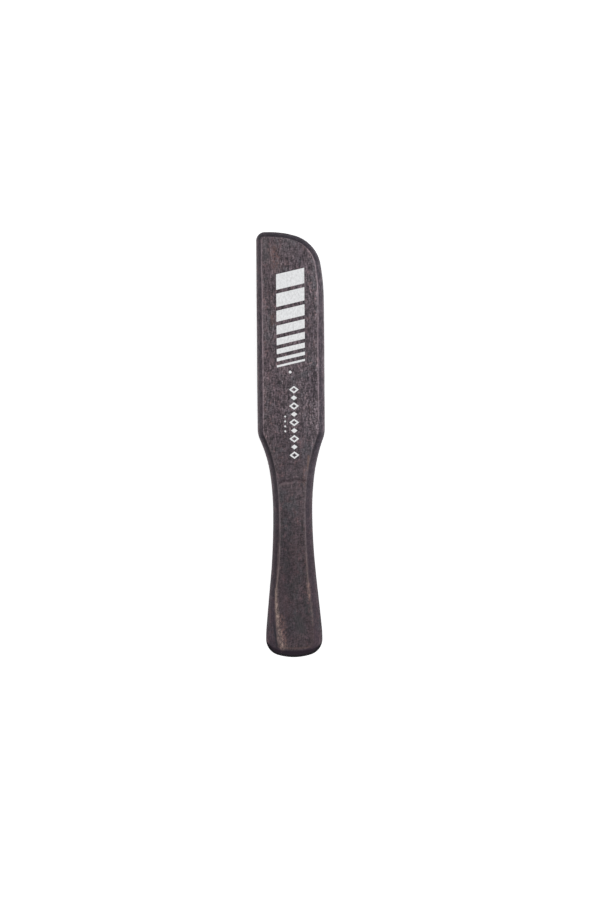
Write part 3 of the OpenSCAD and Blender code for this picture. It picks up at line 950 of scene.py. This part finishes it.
def bristle_row(name, places, material):
    """One row of tufts, every hair a thin tapering tube."""
    rng = np.random.default_rng(100 + int(name[-1]))
    verts, faces, tones, shares = [], [], [], []
    z_free = Z_FRONT + HAIR_FREE
    side_angles = np.arange(HAIR_SIDES) * 2 * math.pi / HAIR_SIDES
    for place in places:
        lean = rng.normal(0, 0.16, 2)
        for k in range(HAIRS):
            root_r = TUFT_R * math.sqrt((k + 0.5) / HAIRS)
            angle = k * GOLDEN_ANGLE + rng.uniform(-0.2, 0.2)
            root = np.array([math.cos(angle), math.sin(angle)]) * root_r
            # A few hairs stray further, and a few are short
            stray = rng.normal(0, 0.13, 2) * (1 if rng.random() < 0.93 else 3.2)
            tip = root * (TUFT_SPREAD + rng.normal(0, 0.10)) + lean + stray
            bow = rng.normal(0, 0.16, 2)
            z_tip = abs(rng.normal(0, 0.13)) if rng.random() < 0.94 else rng.uniform(0.2, 1.0)
            radius = rng.uniform(0.088, 0.118)
            twist = rng.uniform(0, math.pi)
            tone = rng.random()
            stations = [(0.0, Z_FRONT + HAIR_SUNK)]
            stations += [(t, z_free + (z_tip - z_free) * t) for t in HAIR_STATIONS]
            base = len(verts)
            for t, z in stations:
                bend = 0.55 * t + 0.45 * t * t
                centre = place + root + (tip - root) * bend + bow * math.sin(math.pi * t) * 0.9
                ring_r = radius * (1 - 0.42 * max(0, t - 0.25) / 0.75)
                verts += [(centre[0] + ring_r * math.cos(a + twist),
                           centre[1] + ring_r * math.sin(a + twist), z) for a in side_angles]
                tones += [tone] * HAIR_SIDES
                shares += [t] * HAIR_SIDES
            last = base + (len(stations) - 1) * HAIR_SIDES
            for a in range(base, last, HAIR_SIDES):
                b = a + HAIR_SIDES
                for i in range(HAIR_SIDES):
                    j = (i + 1) % HAIR_SIDES
                    faces.append((a + i, b + i, b + j, a + j))
            faces.append(tuple(base + i for i in range(HAIR_SIDES)))
            faces.append(tuple(last + i for i in range(HAIR_SIDES))[::-1])
    obj = new_mesh(name.replace("tuft", "bristle"), verts, faces, material,
                   {"hair": tones, "along": shares})
    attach(obj, "root")
    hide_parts(name)


bristle = bristle_material()
for node, places in rows.items():
    bristle_row(node, places, bristle)


# ---------------------------------------------------------------- anchors keep their CAD mesh
def wire_material():
    net = Net("flat_wire")
    noise = net.noise((0.8, 9, 9), detail=4, rough=0.6)
    col = net.blend(noise.ease(0.3, 0.7), (150, 146, 136), (205, 200, 186))
    tarnish = net.noise((1.3, 1.3, 1.3), detail=4).ease(0.55, 0.72)
    return net.surface({
        "Base Color": net.layer(col, (120, 98, 72), tarnish, strength=0.5),
        "Metallic": 1.0,
        "Roughness": noise.ease(0.3, 0.7, to=(0.28, 0.45)),
        "Normal": net.bump(noise, strength=0.3, distance=0.00001)})


wire = wire_material()
for name, obj in nodes.items():
    if name.startswith("anchor_row_"):
        obj.data.materials.clear()
        obj.data.materials.append(wire)

# ---------------------------------------------------------------- print on the back
INK_ABOVE, INK_BELOW = 0.03, 0.02       # ink top and underside from the back face
INK_STEP, INK_GRID = 0.45, 0.8          # point spacing along the edges and inside
BAR_X, BAR_TOP, BAR_SLANT, BAR_GAP = (-7.3, 7.6), 93.4, 3.4, 2.05
BAR_THICKNESSES = [8.2, 7.0, 5.8, 4.7, 3.6, 2.7, 1.8, 1.1]      # from the tip down
DIAMOND_X, DIAMOND_TOP, DIAMOND_PITCH, DIAMOND_COUNT = 1.55, 29.0, 4.33, 9
# Half widths and half heights
OPEN_DIAMOND, DIAMOND_HOLE, SOLID_DIAMOND = (2.6, 2.0), (1.35, 1.04), (1.7, 1.3)
SMALL_DOT_X, SMALL_DOT_TOP, SMALL_DOT_PITCH = -3.2, 14.8, 2.6


def ink_material():
    net = Net("print_ink")
    noise = net.noise((1.1, 0.7, 1.1), detail=4, rough=0.6)
    col = net.blend(noise.ease(0.3, 0.7), (228, 228, 228), (253, 253, 253))
    pinholes = net.noise((3.6, 1.6, 3.6), (2, 5, 0), detail=3, rough=0.7).ease(0.345, 0.29)
    col = net.layer(col, (150, 140, 142), pinholes, strength=0.9)
    streak = net.noise((2.4, 0.12, 2.4), (1, 1, 0), detail=3).ease(0.38, 0.30)
    return net.surface({
        "Base Color": net.layer(col, (176, 172, 174), streak, strength=0.5),
        "Roughness": noise.ease(0.3, 0.7, to=(0.5, 0.62)),
        "Specular IOR Level": 0.3,
        "Normal": net.bump(noise + streak * -0.5, strength=0.3, distance=0.00003)})


def ink_edge(corners):
    """A loop with points added along it and the slight wobble of ink creeping into grain."""
    corners = np.array(corners)
    points = []
    for a, b in zip(corners, np.roll(corners, -1, axis=0)):
        count = max(1, int(round(np.hypot(*(b - a)) / INK_STEP)))
        points += [a + (b - a) * k / count for k in range(count)]
    points = np.array(points)
    x, y = points.T
    return points + np.stack([0.035 * np.sin(y * 5.1 + x * 2.3),
                              0.05 * np.sin(x * 6.3 + y * 1.7)], 1)


def slab(loops):
    """A closed layer of ink on the back face; outer loop anticlockwise, holes clockwise."""
    loops = [ink_edge(loop) for loop in loops]
    inner = grid(loops[0].min(0), loops[0].max(0), INK_GRID)
    inner = inner[inside(inner, loops[0])]
    for hole in loops[1:]:
        inner = inner[~inside(inner, hole)]
    inner = inner[~near(inner, np.concatenate(loops), 0.3)]
    points, triangles = triangulate(loops, inner)
    count = len(points)
    z = back_z(*points.T)
    verts = np.concatenate([np.column_stack([points, z + INK_ABOVE]),
                            np.column_stack([points, z - INK_BELOW])])
    faces = []
    for t in triangles:
        faces += [t, [i + count for i in t[::-1]]]
    start = 0
    for loop in loops:
        for i in range(len(loop)):
            a, b = start + i, start + (i + 1) % len(loop)
            faces.append([a, a + count, b + count, b])
        start += len(loop)
    return verts, faces


def print_piece(name, shapes):
    verts, faces, start = [], [], 0
    for loops in shapes:
        slab_verts, slab_faces = slab(loops)
        verts.append(slab_verts)
        faces += [[i + start for i in f] for f in slab_faces]
        start += len(slab_verts)
    obj = new_mesh(name, np.concatenate(verts), faces, ink, smooth_shade=False)
    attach(obj, "root")


def bar(top, thickness):
    """A bar with level ends that drops by BAR_SLANT towards -x."""
    (x0, x1), low = BAR_X, top - BAR_SLANT
    return [(x0, low), (x0, low - thickness), (x1, top - thickness), (x1, top)]


def dot(x, y, radius, count):
    angles = np.arange(count) * 2 * math.pi / count
    return [(x + radius * c, y + radius * s) for c, s in zip(np.cos(angles), np.sin(angles))]


def diamond(y, size):
    x, (rx, ry) = DIAMOND_X, size
    return [(x + rx, y), (x, y + ry), (x - rx, y), (x, y - ry)]


ink = ink_material()
bars, top = [], BAR_TOP
for thickness in BAR_THICKNESSES:
    bars.append([bar(top, thickness)])
    top -= thickness + BAR_GAP
print_piece("print_fading_bars", bars)

diamonds = []
for k in range(DIAMOND_COUNT):
    y = DIAMOND_TOP - k * DIAMOND_PITCH
    if k % 2 == 0:
        diamonds.append([diamond(y, OPEN_DIAMOND), diamond(y, DIAMOND_HOLE)[::-1]])
    else:
        diamonds.append([diamond(y, SOLID_DIAMOND)])
print_piece("print_diamond_row", diamonds)

dots = [[dot(-0.3, 38.3, radius=0.75, count=20)]]
dots += [[dot(SMALL_DOT_X, SMALL_DOT_TOP - SMALL_DOT_PITCH * k, radius=0.5, count=16)]
         for k in range(4)]
print_piece("print_small_dots", dots)

# ---------------------------------------------------------------- stage
FLOOR_HALF, FLOOR_GREY = 3000, 0.86


def floor_material():
    net = Net("pale_floor")
    noise = net.noise((0.02, 0.02, 0.02), detail=2)
    # It glows like a light table, so only the deepest shadow shows
    net.surface({
        "Base Color": net.mix(noise, (FLOOR_GREY,) * 3, (FLOOR_GREY * 0.99,) * 3),
        "Roughness": 0.9,
        "Specular IOR Level": 0.2,
        "Emission Color": (1, 1, 1),
        "Emission Strength": 0.62})
    # Seen from below it is clear, so that the drilled face can be looked at
    two_sided = net.node("MixShader", {0: net.node("NewGeometry", out="Backfacing"),
                                       1: Signal(net, net.bsdf.outputs[0]),
                                       2: net.node("BsdfTransparent")})
    net.put(two_sided, net.output.inputs["Surface"])
    return net.material


def build_world():
    """White to the camera, a dimmer and slightly blue white as light."""
    world = bpy.data.worlds.new("studio")
    bpy.context.scene.world = world
    world.use_nodes = True
    tree = world.node_tree
    tree.nodes.clear()
    output = tree.nodes.new("ShaderNodeOutputWorld")
    seen = tree.nodes.new("ShaderNodeBackground")
    seen.inputs["Color"].default_value = (1.0, 1.0, 1.0, 1)
    lit = tree.nodes.new("ShaderNodeBackground")
    lit.inputs["Color"].default_value = (0.97, 0.98, 1.0, 1)
    lit.inputs["Strength"].default_value = 0.48
    path = tree.nodes.new("ShaderNodeLightPath")
    mixer = tree.nodes.new("ShaderNodeMixShader")
    tree.links.new(path.outputs["Is Camera Ray"], mixer.inputs[0])
    tree.links.new(lit.outputs[0], mixer.inputs[1])
    tree.links.new(seen.outputs[0], mixer.inputs[2])
    tree.links.new(mixer.outputs[0], output.inputs[0])


def area_light(name, location, size, power, color=(1, 1, 1)):
    """A rectangular light aimed at the origin; location and size are in metres."""
    light = bpy.data.lights.new(name, "AREA")
    light.shape = "RECTANGLE"
    light.size, light.size_y = size
    light.energy = power
    light.color = color
    obj = bpy.data.objects.new(name, light)
    obj.location = location
    obj.rotation_euler = (-Vector(location)).to_track_quat("-Z", "Y").to_euler()
    bpy.context.scene.collection.objects.link(obj)


LENS, SENSOR = 200, 36
VIEW_SPAN = 476.470588                  # long side of the view, level with the focus
FOCUS_DEPTH = 4                         # focus level below the back face
CAMERA_ROLL = math.radians(0.55)
VIEW_RIGHT, VIEW_UP = 4.514706, -2.900882   # view centre along the camera's own axes


def build_camera():
    camera = bpy.data.cameras.new("camera")
    camera.lens = LENS
    camera.sensor_width = SENSOR
    camera.sensor_fit = "AUTO"
    camera.clip_start, camera.clip_end = 0.05, 50
    obj = bpy.data.objects.new("camera", camera)
    bpy.context.scene.collection.objects.link(obj)
    right = np.array([math.cos(CAMERA_ROLL), -math.sin(CAMERA_ROLL)])
    up = np.array([math.sin(CAMERA_ROLL), math.cos(CAMERA_ROLL)])
    x, y = (VIEW_RIGHT * right + VIEW_UP * up) * MM
    z = (Z_BACK - FOCUS_DEPTH + VIEW_SPAN / SENSOR * LENS) * MM
    obj.matrix_world = Matrix(((right[0], up[0], 0, x), (right[1], up[1], 0, y),
                               (0, 0, 1, z), (0, 0, 0, 1)))
    bpy.context.scene.camera = obj


floor = new_mesh("floor", [(x * FLOOR_HALF, y * FLOOR_HALF, 0)
                           for x, y in ((-1, -1), (1, -1), (1, 1), (-1, 1))],
                 [[0, 1, 2, 3]], floor_material(), smooth_shade=False)
floor.location.z = -0.00005
build_world()
area_light("overhead", (0.12, 0.22, 1.5), size=(2.6, 2.6), power=15)
area_light("right_fill", (1.5, 0.2, 0.9), size=(1.0, 1.6), power=3.0, color=(0.93, 0.96, 1.0))
build_camera()
bpy.context.scene.view_settings.view_transform = "Standard"
bpy.context.scene.view_settings.look = "None"

bpy.context.view_layer.update()
